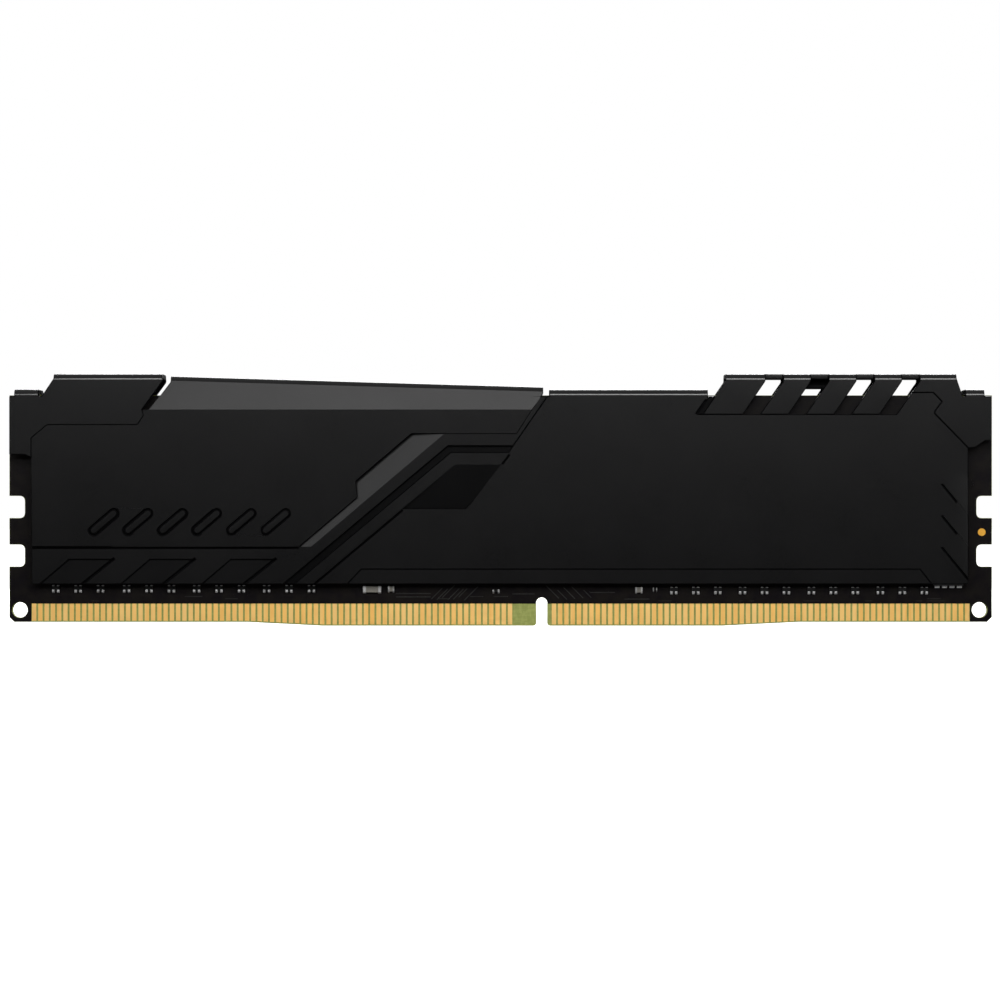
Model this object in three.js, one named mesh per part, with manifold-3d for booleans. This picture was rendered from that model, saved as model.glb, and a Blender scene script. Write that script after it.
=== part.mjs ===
// A 288-contact desktop memory module between two stamped aluminium heat spreader plates.
//
// Millimetres. X runs along the module, Y through its thickness with the front at -Y, and Z is up.
// The origin is under the middle of the module, on the lowest edge of the circuit board.
import * as THREE from "three";
import { mergeVertices } from "three/addons/utils/BufferGeometryUtils.js";
import Module from "manifold-3d";

const wasm = await Module();
wasm.setup();

// ---------------------------------------------------------------------------
// Driving dimensions
// ---------------------------------------------------------------------------

// The circuit board has the standard outline of a 288-contact desktop module.
const BOARD = {
  halfLength: 133.35 / 2,
  height: 31.25,
  thickness: 1.4,
  cornerCut: 0.65,
  endStep: 0.5, // the contact edge is this much higher towards both ends
  leftSlope: [-34.42, -24.22], // X where the edge starts to drop, and where it is down
  rightSlope: [30.18, 40.38], // X where it starts to rise, and where it is up
  keyX: 5.575,
  keyWidth: 1.5,
  keyTop: 3.8,
  keyMouthRadius: 0.4,
  latchDepth: 2.1,
  latchHeight: 3,
  latchBottoms: [8, 14.6],
  latchRadius: 0.75,
  holeRadius: 1.05,
  holeZ: 2.13,
  holeXs: [-65.25, 65],
};
const BOARD_FACE = BOARD.thickness / 2;
const THROUGH = 1; // cuts through the board reach this far to both sides of the middle plane

// Gold contacts, the same on both faces.
const CONTACT = {
  pitch: 0.85,
  width: 0.6,
  thickness: 0.04,
  top: 3,
  edgeGap: 0.15, // bare laminate between a contact's foot and the board's edge
  spineTop: 3.2, // the contacts' plating runs on under the solder mask
  outerX: 63.325, // middle of the outermost contact at both ends
  leftCount: 77,
  rightCount: 67,
};
const TEST_PAD = { x: 65.3, z: 12.68, radius: 0.52 };

// Memory chips, four to the left and four to the right on each face.
const CHIP = {
  width: 7.5,
  height: 12,
  middleZ: 16.5,
  baseThickness: 0.3,
  thickness: 1.05,
  moulding: 0.15, // how far the moulded top is set in from the chip's base
  pinMark: { inset: 1, radius: 0.35, depth: 0.08 },
  middleXs: [-57.3, -47.8, -38.3, -28.8, 26.5, 35.85, 45.2, 54.55],
};
const CHIP_FACE = BOARD_FACE + CHIP.thickness;

const PAD = { thickness: 0.4, left: -61.6, right: 58.9, bottom: 9.5, top: 23.5 };

// Heat spreader: distances of its faces from the module's middle plane.
const SHEET = 0.7; // thickness of the metal
const INNER = CHIP_FACE + PAD.thickness; // the face on the thermal pad
const LEVEL = {
  bandGroove: 2.5, // between the two bands
  sunken: 2.65, // strip under the right field
  pocket: 2.7, // floor of the three lower pockets
  field: INNER + SHEET, // right field, the plain sheet
  finBorder: 2.98, // narrow step to the left of the fins
  pillGroove: 2.95,
  terrace: 3.1, // border around the left field, and the second band
  fins: 3.1, // fins and the panel at the right end
  raised: 3.35, // left field
  pill: 3.42,
  rim: 3.6, // panel at the left end, the outermost face
};
const RIM_INNER = LEVEL.rim - SHEET;
const CLEAR = LEVEL.rim + 1; // well in front of every face
const SEAM = 0.05; // half of the gap between the front and rear lips
const SCORE = { width: 0.25, depth: 0.25 }; // grooves along the feet of some steps

// Heat spreader: heights and the two directions that its edges keep to.
const PLATE = {
  left: -63.42,
  right: 63.26,
  earLeft: -66.4,
  earRight: 66.4,
  bottom: 5.68,
  shoulder: 31.05, // top of the sheet where it has no lip
  lowLip: 32,
  highLip: 34.1,
  crease: 29.28, // where the chamfer starts to lean back
  finFoot: 28.64,
  lipFoot: 30.6, // the lips start this low, on the sheet
  bendRadius: 0.9,
};
const BAND_ANGLE = THREE.MathUtils.degToRad(40.4); // bands, pills and facets, from the horizontal
const BEND_STEPS = 5;
const REACH = 400; // size of the blocks that cut along a plane

// Slots between the fins: slanted up to the corner height, and straight through the bend of the lip above it.
const SLOT = {
  count: 4, pitch: 6.16, left: 32.76, width: 2.35, corner: 33.1, lipLeft: 35.8, lipWidth: 2.42, back: 2.1,
};

// Surface-mount parts along the contacts. X is the middle of the first part in each run.
const RESISTOR = { width: 1.1, height: 1, thickness: 0.32, terminal: 0.4, terminalHeight: 0.3 };
const RESISTOR_ROWS = [
  { side: "left", starts: [-60.37, -50.75, -41.25, -31.75], perGroup: 3, pitch: 3.04, middleZ: 5 },
  { side: "right", starts: [23.5, 32.82, 42.16, 51.52], perGroup: 3, pitch: 2.98, middleZ: 4.76 },
];
const TERMINAL_LIFT = 0.03; // terminals and end caps stand this far proud of their bodies
const END_CAP_PARTS = [
  { name: "bulk_capacitor", x: -17.45, z: 4.95, length: 2.5, width: 0.95, thickness: 0.5, cap: 0.4 },
  { name: "filter_capacitor", x: -14.87, z: 5, length: 0.85, width: 0.8, thickness: 0.4, cap: 0.25 },
  { name: "centre_resistor", x: -0.63, z: 4.7, length: 0.95, width: 0.45, thickness: 0.3, cap: 0.22 },
  { name: "clock_capacitor", x: 18.76, z: 4.85, length: 1, width: 0.8, thickness: 0.4, cap: 0.25 },
  { name: "calibration_resistor", x: 20.95, z: 4.95, length: 0.6, width: 0.5, thickness: 0.25, cap: 0.18 },
];

// The small chip that holds the module's settings, with its leads below and above the body.
const CONFIGURATION_CHIP = {
  x: 60.73,
  z: 6.72,
  width: 4,
  height: 2.6,
  baseThickness: 0.3,
  thickness: 0.75,
  moulding: 0.1,
  leads: { count: 4, pitch: 1.01, width: 0.65, length: 0.3, thickness: 0.15 },
};

// ---------------------------------------------------------------------------
// Solids
// ---------------------------------------------------------------------------

function toSolid(geometry) {
  const bare = new THREE.BufferGeometry();
  bare.setAttribute("position", geometry.getAttribute("position"));
  bare.setIndex(geometry.index);
  const welded = mergeVertices(bare, 1e-5);
  return new wasm.Manifold(new wasm.Mesh({
    numProp: 3,
    vertProperties: new Float32Array(welded.getAttribute("position").array),
    triVerts: new Uint32Array(welded.index.array),
  }));
}

function toGeometry(solid) {
  const mesh = solid.getMesh();
  const geometry = new THREE.BufferGeometry();
  geometry.setAttribute("position", new THREE.BufferAttribute(mesh.vertProperties, 3));
  geometry.setIndex(new THREE.BufferAttribute(mesh.triVerts, 1));
  geometry.computeVertexNormals();
  return geometry;
}

// The same geometry reflected through the module's middle plane.
function reflected(geometry) {
  const copy = geometry.clone().scale(1, -1, 1);
  const corners = copy.index.array;
  for (let i = 0; i < corners.length; i += 3) {
    [corners[i], corners[i + 1]] = [corners[i + 1], corners[i]];
  }
  copy.computeVertexNormals();
  return copy;
}

// A shape in X and Z, as deep as the two given distances in front of the middle plane.
function slabGeometry(shape, near, far, curveSegments = 6) {
  const options = { depth: far - near, bevelEnabled: false, curveSegments };
  return new THREE.ExtrudeGeometry(shape, options).rotateX(Math.PI / 2).translate(0, -near, 0);
}

function shapeOf(outline) {
  return new THREE.Shape(outline.map(([x, z]) => new THREE.Vector2(x, z)));
}

function slab(outline, near, far) {
  return toSolid(slabGeometry(shapeOf(outline), near, far));
}

function box(left, right, bottom, top, near, far) {
  return slab([[left, bottom], [right, bottom], [right, top], [left, top]], near, far);
}

// Everything beyond a plane, as a block that can be cut away or kept.
function beyond(normal, offset) {
  const turn = new THREE.Quaternion().setFromUnitVectors(new THREE.Vector3(0, 0, 1), normal);
  const foot = normal.clone().multiplyScalar(offset);
  const block = new THREE.BoxGeometry(REACH, REACH, REACH);
  block.translate(0, 0, REACH / 2).applyQuaternion(turn).translate(foot.x, foot.y, foot.z);
  return toSolid(block);
}

function plane(normal, point) {
  const unit = new THREE.Vector3(...normal).normalize();
  return { normal: unit, offset: unit.dot(new THREE.Vector3(...point)) };
}

// ---------------------------------------------------------------------------
// Circuit board and contacts
// ---------------------------------------------------------------------------

// Height of the board's contact edge at X.
function edgeHeight(x) {
  const [leftTop, leftFoot] = BOARD.leftSlope;
  const [rightFoot, rightTop] = BOARD.rightSlope;
  if (x < 0) return BOARD.endStep * THREE.MathUtils.clamp((leftFoot - x) / (leftFoot - leftTop), 0, 1);
  return BOARD.endStep * THREE.MathUtils.clamp((x - rightFoot) / (rightTop - rightFoot), 0, 1);
}

// Outline of the board before its latch notches are cut: the bowed contact edge, key notch and corner cuts.
function boardShape() {
  const { halfLength, height, cornerCut, endStep, keyX, keyWidth, keyTop, keyMouthRadius } = BOARD;
  const keyRadius = keyWidth / 2;
  const mouthX = keyRadius + keyMouthRadius;
  const shape = new THREE.Shape();
  shape.moveTo(-halfLength, endStep + cornerCut);
  shape.lineTo(-halfLength + cornerCut, endStep);
  shape.lineTo(BOARD.leftSlope[0], endStep);
  shape.lineTo(BOARD.leftSlope[1], 0);
  shape.absarc(keyX - mouthX, keyMouthRadius, keyMouthRadius, -Math.PI / 2, 0);
  shape.absarc(keyX, keyTop - keyRadius, keyRadius, Math.PI, 0, true);
  shape.absarc(keyX + mouthX, keyMouthRadius, keyMouthRadius, Math.PI, 3 * Math.PI / 2);
  shape.lineTo(BOARD.rightSlope[0], 0);
  shape.lineTo(BOARD.rightSlope[1], endStep);
  shape.lineTo(halfLength - cornerCut, endStep);
  shape.lineTo(halfLength, endStep + cornerCut);
  shape.lineTo(halfLength, height);
  shape.lineTo(-halfLength, height);
  return shape;
}

// Room for a socket latch in one end of the board, its inner corners rounded; side is -1 or 1.
function latchNotch(side, bottom) {
  const { halfLength, latchDepth, latchHeight, latchRadius } = BOARD;
  const outside = side * (halfLength + 1);
  const floor = side * (halfLength - latchDepth);
  const roundStart = side * (halfLength - latchDepth + latchRadius);
  const top = bottom + latchHeight;
  const shape = new THREE.Shape();
  shape.moveTo(outside, bottom);
  shape.lineTo(roundStart, bottom);
  shape.quadraticCurveTo(floor, bottom, floor, bottom + latchRadius);
  shape.lineTo(floor, top - latchRadius);
  shape.quadraticCurveTo(floor, top, roundStart, top);
  shape.lineTo(outside, top);
  return toSolid(slabGeometry(shape, -THROUGH, THROUGH, 5));
}

function cornerHole(x) {
  const circle = new THREE.Shape().absarc(x, BOARD.holeZ, BOARD.holeRadius, 0, 2 * Math.PI);
  return toSolid(slabGeometry(circle, -THROUGH, THROUGH, 12));
}

function circuitBoard() {
  const cuts = [
    ...BOARD.latchBottoms.map((bottom) => latchNotch(-1, bottom)),
    ...BOARD.latchBottoms.map((bottom) => latchNotch(1, bottom)),
    ...BOARD.holeXs.map(cornerHole),
  ];
  return toGeometry(toSolid(slabGeometry(boardShape(), -BOARD_FACE, BOARD_FACE, 8)).subtract(joined(cuts)));
}

// A run of contacts joined at the top by the plating that carries on under the solder mask.
function contactStrip(firstX, count) {
  const half = CONTACT.width / 2;
  const lastX = firstX + (count - 1) * CONTACT.pitch;
  const outline = [[lastX + half, CONTACT.spineTop], [firstX - half, CONTACT.spineTop]];
  for (let i = 0; i < count; i += 1) {
    const x = firstX + i * CONTACT.pitch;
    const [left, right] = [x - half, x + half];
    if (i > 0) outline.push([left, CONTACT.top]);
    outline.push([left, edgeHeight(left) + CONTACT.edgeGap], [right, edgeHeight(right) + CONTACT.edgeGap]);
    if (i < count - 1) outline.push([right, CONTACT.top]);
  }
  return slabGeometry(shapeOf(outline), BOARD_FACE, BOARD_FACE + CONTACT.thickness);
}

function testPad() {
  const disc = new THREE.Shape().absarc(TEST_PAD.x, TEST_PAD.z, TEST_PAD.radius, 0, 2 * Math.PI);
  return slabGeometry(disc, BOARD_FACE, BOARD_FACE + CONTACT.thickness, 12);
}

// ---------------------------------------------------------------------------
// Parts on the board
// ---------------------------------------------------------------------------

// A package lying on the front of the board around X = 0 and Z = 0: a base with a smaller moulded top.
function packageBody({ width, height, baseThickness, thickness, moulding }) {
  const [right, top] = [width / 2, height / 2];
  const base = box(-right, right, -top, top, 0, baseThickness);
  return base.add(box(-right + moulding, right - moulding, -top + moulding, top - moulding, 0, thickness));
}

function memoryChip() {
  const { inset, radius, depth } = CHIP.pinMark;
  const [x, z] = [inset - CHIP.width / 2, CHIP.height / 2 - inset];
  const circle = new THREE.Shape().absarc(x, z, radius, 0, 2 * Math.PI);
  const dimple = toSolid(slabGeometry(circle, CHIP.thickness - depth, CHIP.thickness + depth));
  return toGeometry(packageBody(CHIP).subtract(dimple));
}

function configurationChip() {
  const { leads, height } = CONFIGURATION_CHIP;
  const reach = height / 2 + leads.length;
  const bars = repeated(leads.count, (i) => {
    const x = (i - (leads.count - 1) / 2) * leads.pitch;
    return box(x - leads.width / 2, x + leads.width / 2, -reach, reach, 0, leads.thickness);
  });
  return toGeometry(packageBody(CONFIGURATION_CHIP).add(joined(bars)));
}

// The body of a small part, a little inside the metal at its ends.
function smallBody(width, height, thickness) {
  const [right, top] = [width / 2 - TERMINAL_LIFT, height / 2 - TERMINAL_LIFT];
  return box(-right, right, -top, top, 0, thickness);
}

// A resistor pack: a flat body with a metal terminal wrapped around each of its corners.
function resistorPack() {
  const { width, height, thickness, terminal, terminalHeight } = RESISTOR;
  let part = smallBody(width, height, thickness);
  for (const side of [-1, 1]) {
    for (const end of [-1, 1]) {
      const xs = [side * width / 2, side * (width / 2 - terminal)].sort((a, b) => a - b);
      const zs = [end * height / 2, end * (height / 2 - terminalHeight)].sort((a, b) => a - b);
      part = part.add(box(...xs, ...zs, 0, thickness + TERMINAL_LIFT));
    }
  }
  return toGeometry(part);
}

// A flat part with a metal cap over each end, its length along X.
function endCapPart({ length, width, thickness, cap }) {
  const [right, top, front] = [length / 2, width / 2, thickness + TERMINAL_LIFT];
  const leftCap = box(-right, cap - right, -top, top, 0, front);
  const rightCap = box(right - cap, right, -top, top, 0, front);
  return toGeometry(smallBody(length, width, thickness).add(leftCap).add(rightCap));
}

// ---------------------------------------------------------------------------
// Heat spreader: outlines, given as [x, z] points
// ---------------------------------------------------------------------------

const SILHOUETTE = [
  [PLATE.earLeft, PLATE.shoulder], [PLATE.earLeft, 23.2], [-64.3, 23.2], [PLATE.left, 22.8],
  [PLATE.left, PLATE.bottom], [PLATE.right, PLATE.bottom], [PLATE.right, 24.08], [64.2, 24.17],
  [65.55, 25.09], [PLATE.earRight, 25.09], [PLATE.earRight, PLATE.shoulder],
];
const TERRACE = [
  [PLATE.left, PLATE.bottom], [-29.42, PLATE.bottom], [-7.12, 24.38], [1.68, 24.38], [2.92, 26.13],
  [6.3, PLATE.shoulder], [PLATE.left, PLATE.shoulder],
];
const SECOND_BAND = [
  [-27.9, PLATE.bottom], [-25.45, PLATE.bottom], [-13.27, 15.9], [-6.19, 21.84], [-0.02, 21.84],
  [1.17, 23.48], [-6.75, 23.48],
];

// Grooves along the lower right edge and the right end of the second band, which covers their inner sides.
const BAND_SCORES = [
  [[-26.2, 5.4], [-25.4, 5.4], [-13.26, 15.58], [-13.6, 15.9]],
  [[0, 22.05], [0.33, 21.9], [1.2, 23.1], [0.8, 23.25]],
];

const BAND_GROOVE = [
  [-29.42, PLATE.bottom], [-27.9, PLATE.bottom], [-6.75, 23.48], [1.17, 23.48], [1.68, 24.38], [-7.12, 24.38],
];
const LEFT_FIELD = [
  [PLATE.left, 10.74], [-27.33, 10.74], [-19.42, 17.45], [-19.66, 19.66], [-12.12, 26.08], [2.14, 26.08],
  [4.17, PLATE.crease], [PLATE.left, PLATE.crease],
];
const LEFT_PANEL = [
  [PLATE.earLeft, PLATE.shoulder], [PLATE.earLeft, 23.2], [-64.3, 23.2], [PLATE.left, 22.8],
  [PLATE.left, 25.43], [-61.28, 27.22], [-49.06, 27.22], [-48.24, 28.5], [-48.46, PLATE.crease],
  [-47.94, PLATE.crease], [-46.7, PLATE.shoulder],
];
const FIN_BORDER = [
  [26.6, PLATE.finFoot], [28, PLATE.finFoot], [30, PLATE.shoulder], [28.26, PLATE.shoulder],
];

// The plain sheet reaches a little above the shoulder beside the last slot.
const FIN_FOOTING = [[54.6, 30.35], [59.7, 30.35], [58.5, 31.6], [54.6, 31.6]];

const SUNKEN_STRIP = [[-21, 5.44], [-18.87, 7.7], [56.75, 7.7], [58.5, 5.44]];

// Behind the left panel the metal is hollow, so that it keeps the thickness of the sheet.
const LEFT_HOLLOW = [
  [-67, 22], [-64.1, 22], [-64.1, 25.7], [-61.6, 27.9], [-49.1, 27.9], [-49.1, PLATE.crease],
  [-47.9, PLATE.crease], [-46.6, 31.1], [-67, 31.1],
];

const BRIGHT_FACET = [
  [-12.12, 26.08], [-7.55, 26.08], [-25.62, 10.74], [-27.33, 10.74], [-19.42, 17.45], [-19.66, 19.66],
];
const BRIGHT_FACET_TILT = 0.23; // how far it sinks for each millimetre away from the band
const DARK_FACET = [[-6.19, 21.84], [-0.02, 21.84], [-3.88, 16.66], [-4.75, 15.9], [-13.27, 15.9]];
const DARK_FACET_TILT = 0.118; // how far it sinks for each millimetre below the band
const POCKET = [[-62.6, 5.44], [-58.38, 9.02], [-52.21, 9.02], [-56.7, 5.44]];
const POCKETS = { count: 3, pitch: 10.95 };
const PILLS = { count: 6, pitch: 4.65, firstX: -53.65, z: 14.1, length: 3.5, width: 0.95, grooveWidth: 1.5 };

// Scales on the right edge. Each one starts level with the field along its upper left side.
const SCALE = [[59.77, 19.37], [PLATE.right, 15.09], [PLATE.right, 20], [61.9, 21.25]];
const SCALES = { count: 3, pitch: 4.28, tilt: 0.045 };

// Groove along the lower left side of a scale, which covers its inner side.
const SCALE_SCORE = [[59.64, 19.14], [63.4, 14.52], [63.4, 15.08], [60.04, 19.2]];

// Folded parts of the top edge.
const LEFT_BLOCK = [
  [-61.5, 30], [-62.04, PLATE.shoulder], [-60.42, 33.48], [-60.42, 35], [-45.2, 35], [-45.2, 33.2],
  [-46.7, PLATE.shoulder], [-47.43, 30],
];
const FIN_BLOCK = [
  [27.35, PLATE.finFoot], [52.4, PLATE.finFoot], [54.5, 31.6], [58.5, 31.6], [59.7, 30.35], [58.7, 29.05],
  [58.7, 28.75], [PLATE.right, 24.08], [64.2, 24.17], [65.55, 25.09], [PLATE.earRight, 25.09],
  [PLATE.earRight, PLATE.shoulder], [62.48, PLATE.shoulder], [61.66, 33.48], [61.66, 35], [30.41, 35],
  [30.41, 33.1],
];
const CHAMFER_BLOCK = [
  [-47.94, PLATE.crease], [4.17, PLATE.crease], [5.76, 31.4], [5.76, 35], [-45.2, 35], [-45.2, 33.16],
];
const LEFT_SLOT = [
  [-48.46, PLATE.crease], [-47.42, PLATE.crease], [-44.66, 33.05], [-44.66, 36], [-45.75, 36], [-45.69, 33.1],
];
const CHAMFER = { lean: THREE.MathUtils.degToRad(12), lipFall: 0.02955, lipX: -44.66, lipZ: 33.81 };

// Plain lips: left, right, height and the level of the sheet that they are folded from.
const LIPS = [
  [-65.74, -62.46, PLATE.lowLip, LEVEL.rim],
  [6.59, 28.04, PLATE.lowLip, LEVEL.field],
  [62.84, 65.43, PLATE.lowLip, LEVEL.fins],
];
const TAB = { left: 40.6, right: 45.2, bottom: 32.1, hookTop: 32.65, reach: 2 };

// ---------------------------------------------------------------------------
// Heat spreader: building blocks
// ---------------------------------------------------------------------------

// A block cut back to a face plane, a top plane and the round bend between them.
function cutToFold(block, face, top, axis, radius) {
  let result = block;
  for (let step = 0; step <= BEND_STEPS; step += 1) {
    const normal = face.normal.clone().lerp(top.normal, step / BEND_STEPS).normalize();
    result = result.subtract(beyond(normal, normal.dot(axis) + radius));
  }
  return result;
}

// A point on the axis of the bend between two planes.
function bendAxis(face, top, radius) {
  const cosine = face.normal.dot(top.normal);
  const [toFace, toTop] = [face.offset - radius, top.offset - radius];
  const share = 1 / (1 - cosine * cosine);
  const alongFace = (toFace - cosine * toTop) * share;
  const alongTop = (toTop - cosine * toFace) * share;
  return face.normal.clone().multiplyScalar(alongFace).addScaledVector(top.normal, alongTop);
}

// Sheet that stands in the face plane and is folded back over the board at the top.
function foldedSheet(outline, face, top) {
  const axis = bendAxis(face, top, PLATE.bendRadius);
  const outside = cutToFold(slab(outline, SEAM, CLEAR), face, top, axis, PLATE.bendRadius);
  const room = toSolid(new THREE.BoxGeometry(REACH / 2, 2 * CLEAR, REACH / 2));
  const inside = cutToFold(room, face, top, axis, PLATE.bendRadius - SHEET);
  return outside.subtract(inside);
}

function uprightFace(distance) {
  return plane([0, -1, 0], [0, -distance, 0]);
}

function levelTop(z) {
  return plane([0, 0, 1], [0, 0, z]);
}

function lip([left, right, top, faceLevel]) {
  const outline = [[left, PLATE.lipFoot], [right, PLATE.lipFoot], [right, top + 1], [left, top + 1]];
  return foldedSheet(outline, uprightFace(faceLevel), levelTop(top));
}

// The leaning face over the left field.
function chamferFace() {
  return plane([0, -Math.cos(CHAMFER.lean), Math.sin(CHAMFER.lean)], [0, -LEVEL.raised, PLATE.crease]);
}

// The leaning face with its lip, whose top falls slightly to the right.
function chamferBlock() {
  const top = plane([CHAMFER.lipFall, 0, 1], [CHAMFER.lipX, 0, CHAMFER.lipZ]);
  return foldedSheet(CHAMFER_BLOCK, chamferFace(), top);
}

// Outline moved in X and Z.
function moved(outline, dx, dz) {
  return outline.map(([x, z]) => [x + dx, z + dz]);
}

function repeated(count, make) {
  return Array.from({ length: count }, (_, i) => make(i));
}

function joined(solids) {
  return solids.reduce((whole, solid) => whole.add(solid));
}

// The part of a slab that lies in front of a plane.
function inFrontOf(outline, face) {
  return slab(outline, INNER, CLEAR).intersect(beyond(face.normal, face.offset));
}

// A narrow groove to the left of the line between two points, cut down from a level.
function scoredLine([x0, z0], [x1, z1], level) {
  const share = SCORE.width / Math.hypot(x1 - x0, z1 - z0);
  const [dx, dz] = [(z0 - z1) * share, (x1 - x0) * share];
  return slab([[x0, z0], [x1, z1], [x1 + dx, z1 + dz], [x0 + dx, z0 + dz]], level - SCORE.depth, CLEAR);
}

// A short bar with round ends, lying along the direction of the bands.
function pillShape(x, z, length, width) {
  const [dx, dz] = [Math.cos(BAND_ANGLE) * length / 2, Math.sin(BAND_ANGLE) * length / 2];
  const quarter = Math.PI / 2;
  const shape = new THREE.Shape();
  shape.absarc(x + dx, z + dz, width / 2, BAND_ANGLE - quarter, BAND_ANGLE + quarter);
  shape.absarc(x - dx, z - dz, width / 2, BAND_ANGLE + quarter, BAND_ANGLE + 3 * quarter);
  return shape;
}

function pills(width, near, far) {
  return joined(repeated(PILLS.count, (i) => {
    const shape = pillShape(PILLS.firstX + i * PILLS.pitch, PILLS.z, PILLS.length, width);
    return toSolid(slabGeometry(shape, near, far, 4));
  }));
}

// Scales on the right edge, each one rising to the lower right.
function scales() {
  const [[x0, z0], , , [x1, z1]] = SCALE;
  const share = SCALES.tilt / Math.hypot(x1 - x0, z1 - z0);
  return joined(repeated(SCALES.count, (i) => {
    const outline = moved(SCALE, 0, -i * SCALES.pitch);
    const [startX, startZ] = outline[0];
    const face = plane([(z0 - z1) * share, -1, (x1 - x0) * share], [startX, -LEVEL.field, startZ]);
    return slab(outline, INNER, CLEAR).subtract(beyond(face.normal, face.offset));
  }));
}

// Facet beside the first band: leans back from the band down to the edge of the left field.
function brightFacetCut() {
  const [, [x1, z1], [x2, z2]] = BRIGHT_FACET;
  const share = BRIGHT_FACET_TILT / Math.hypot(x1 - x2, z1 - z2);
  const face = plane([(z2 - z1) * share, -1, (x1 - x2) * share], [x1, -LEVEL.terrace, z1]);
  return inFrontOf(BRIGHT_FACET, face);
}

// Facet below the second band: faces down and leans back towards its foot.
function darkFacetCut() {
  const [, top] = DARK_FACET[0];
  const face = plane([0, -1, -DARK_FACET_TILT], [0, -LEVEL.terrace, top]);
  return inFrontOf(DARK_FACET, face);
}

// Slot between two fins. It goes right through the upright sheet and through the bend of the lip.
function finSlot(index) {
  const [left, lipLeft] = [SLOT.left + index * SLOT.pitch, SLOT.lipLeft + index * SLOT.pitch];
  const [right, lipRight] = [left + SLOT.width, lipLeft + SLOT.lipWidth];
  return slab([
    [left, PLATE.finFoot], [right, PLATE.finFoot], [lipRight, SLOT.corner], [lipRight, PLATE.highLip + 1],
    [lipLeft, PLATE.highLip + 1], [lipLeft, SLOT.corner],
  ], SLOT.back, CLEAR);
}

// Room for the leaning face: everything in front of the middle of its sheet.
function chamferCut() {
  const { normal, offset } = chamferFace();
  return inFrontOf(CHAMFER_BLOCK, { normal, offset: offset - SHEET / 2 });
}

// The upright sheet with its stepped relief, before the folded parts are added.
function pressedSheet() {
  const field = slab(SILHOUETTE, INNER, LEVEL.field).subtract(joined([
    slab(SUNKEN_STRIP, LEVEL.sunken, CLEAR),
    scoredLine(FIN_BORDER[0], FIN_BORDER[3], LEVEL.field),
    ...BAND_SCORES.map((outline) => slab(outline, LEVEL.field - SCORE.depth, CLEAR)),
    ...repeated(SCALES.count, (i) => {
      const outline = moved(SCALE_SCORE, 0, -i * SCALES.pitch);
      return slab(outline, LEVEL.field - SCORE.depth, CLEAR);
    }),
  ]));
  const steps = joined([
    field,
    slab(FIN_FOOTING, INNER, LEVEL.field),
    scales(),
    slab(TERRACE, INNER, LEVEL.terrace),
    slab(SECOND_BAND, INNER, LEVEL.terrace),
    slab(DARK_FACET, INNER, LEVEL.terrace),
    slab(LEFT_FIELD, INNER, LEVEL.raised),
    slab(LEFT_PANEL, INNER, LEVEL.rim),
    slab(FIN_BORDER, INNER, LEVEL.finBorder),
  ]);
  const recesses = joined([
    brightFacetCut(),
    darkFacetCut(),
    chamferCut(),
    slab(BAND_GROOVE, LEVEL.bandGroove, CLEAR),
    scoredLine(LEFT_FIELD[1], LEFT_FIELD[0], LEVEL.terrace),
    pills(PILLS.grooveWidth, LEVEL.pillGroove, CLEAR),
    slab(LEFT_HOLLOW, 0, RIM_INNER),
    ...repeated(POCKETS.count, (i) => {
      const outline = moved(POCKET, i * POCKETS.pitch, 0);
      return slab(outline, LEVEL.pocket, CLEAR).add(scoredLine(outline[3], outline[2], LEVEL.pocket));
    }),
  ]);
  return steps.subtract(recesses).add(pills(PILLS.width, INNER, LEVEL.pill));
}

function heatSpreader() {
  const folds = joined([
    foldedSheet(LEFT_BLOCK, uprightFace(LEVEL.rim), levelTop(PLATE.highLip)),
    foldedSheet(FIN_BLOCK, uprightFace(LEVEL.fins), levelTop(PLATE.highLip)),
    chamferBlock(),
    ...LIPS.map(lip),
  ]);
  const slots = joined([slab(LEFT_SLOT, 0, CLEAR), ...repeated(SLOT.count, finSlot)]);
  return pressedSheet().add(folds).subtract(slots);
}

// Tongue of the rear plate that hangs behind the second slot, its hook reaching under the front plate's lip.
function lockingTab() {
  const tongue = box(TAB.left, TAB.right, TAB.bottom, PLATE.highLip - SHEET / 2, SEAM, SEAM + SHEET);
  const hook = box(TAB.left, TAB.right, TAB.bottom, TAB.hookTop, -TAB.reach, SEAM + SHEET);
  return tongue.add(hook);
}

// ---------------------------------------------------------------------------
// Assembly
// ---------------------------------------------------------------------------

const FINISH = {
  board: { color: 0x1b161a, roughness: 0.45, metalness: 0 },
  spreader: { color: 0x222223, roughness: 0.42, metalness: 0.5 },
  gold: { color: 0xdfb26a, roughness: 0.28, metalness: 1 },
  chip: { color: 0x1d1d1f, roughness: 0.6, metalness: 0 },
  pad: { color: 0x8d9196, roughness: 0.9, metalness: 0 },
  resistor: { color: 0x77777a, roughness: 0.4, metalness: 0.4 },
  capacitor: { color: 0x9b9a92, roughness: 0.4, metalness: 0.4 },
};

const memoryModule = new THREE.Group();

function addPiece(name, geometry, finish, x = 0, y = 0, z = 0) {
  const mesh = new THREE.Mesh(geometry, new THREE.MeshStandardMaterial({ ...finish, flatShading: true }));
  mesh.name = name;
  mesh.position.set(x, y, z);
  memoryModule.add(mesh);
  return mesh;
}

addPiece("circuit_board", circuitBoard(), FINISH.board);

addPiece("front_heat_spreader", toGeometry(heatSpreader()), FINISH.spreader);
addPiece("rear_heat_spreader", reflected(toGeometry(heatSpreader().add(lockingTab()))), FINISH.spreader);

const padGeometry = toGeometry(box(PAD.left, PAD.right, PAD.bottom, PAD.top, CHIP_FACE, INNER));
addPiece("front_thermal_pad", padGeometry, FINISH.pad);
addPiece("rear_thermal_pad", reflected(padGeometry), FINISH.pad);

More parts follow.
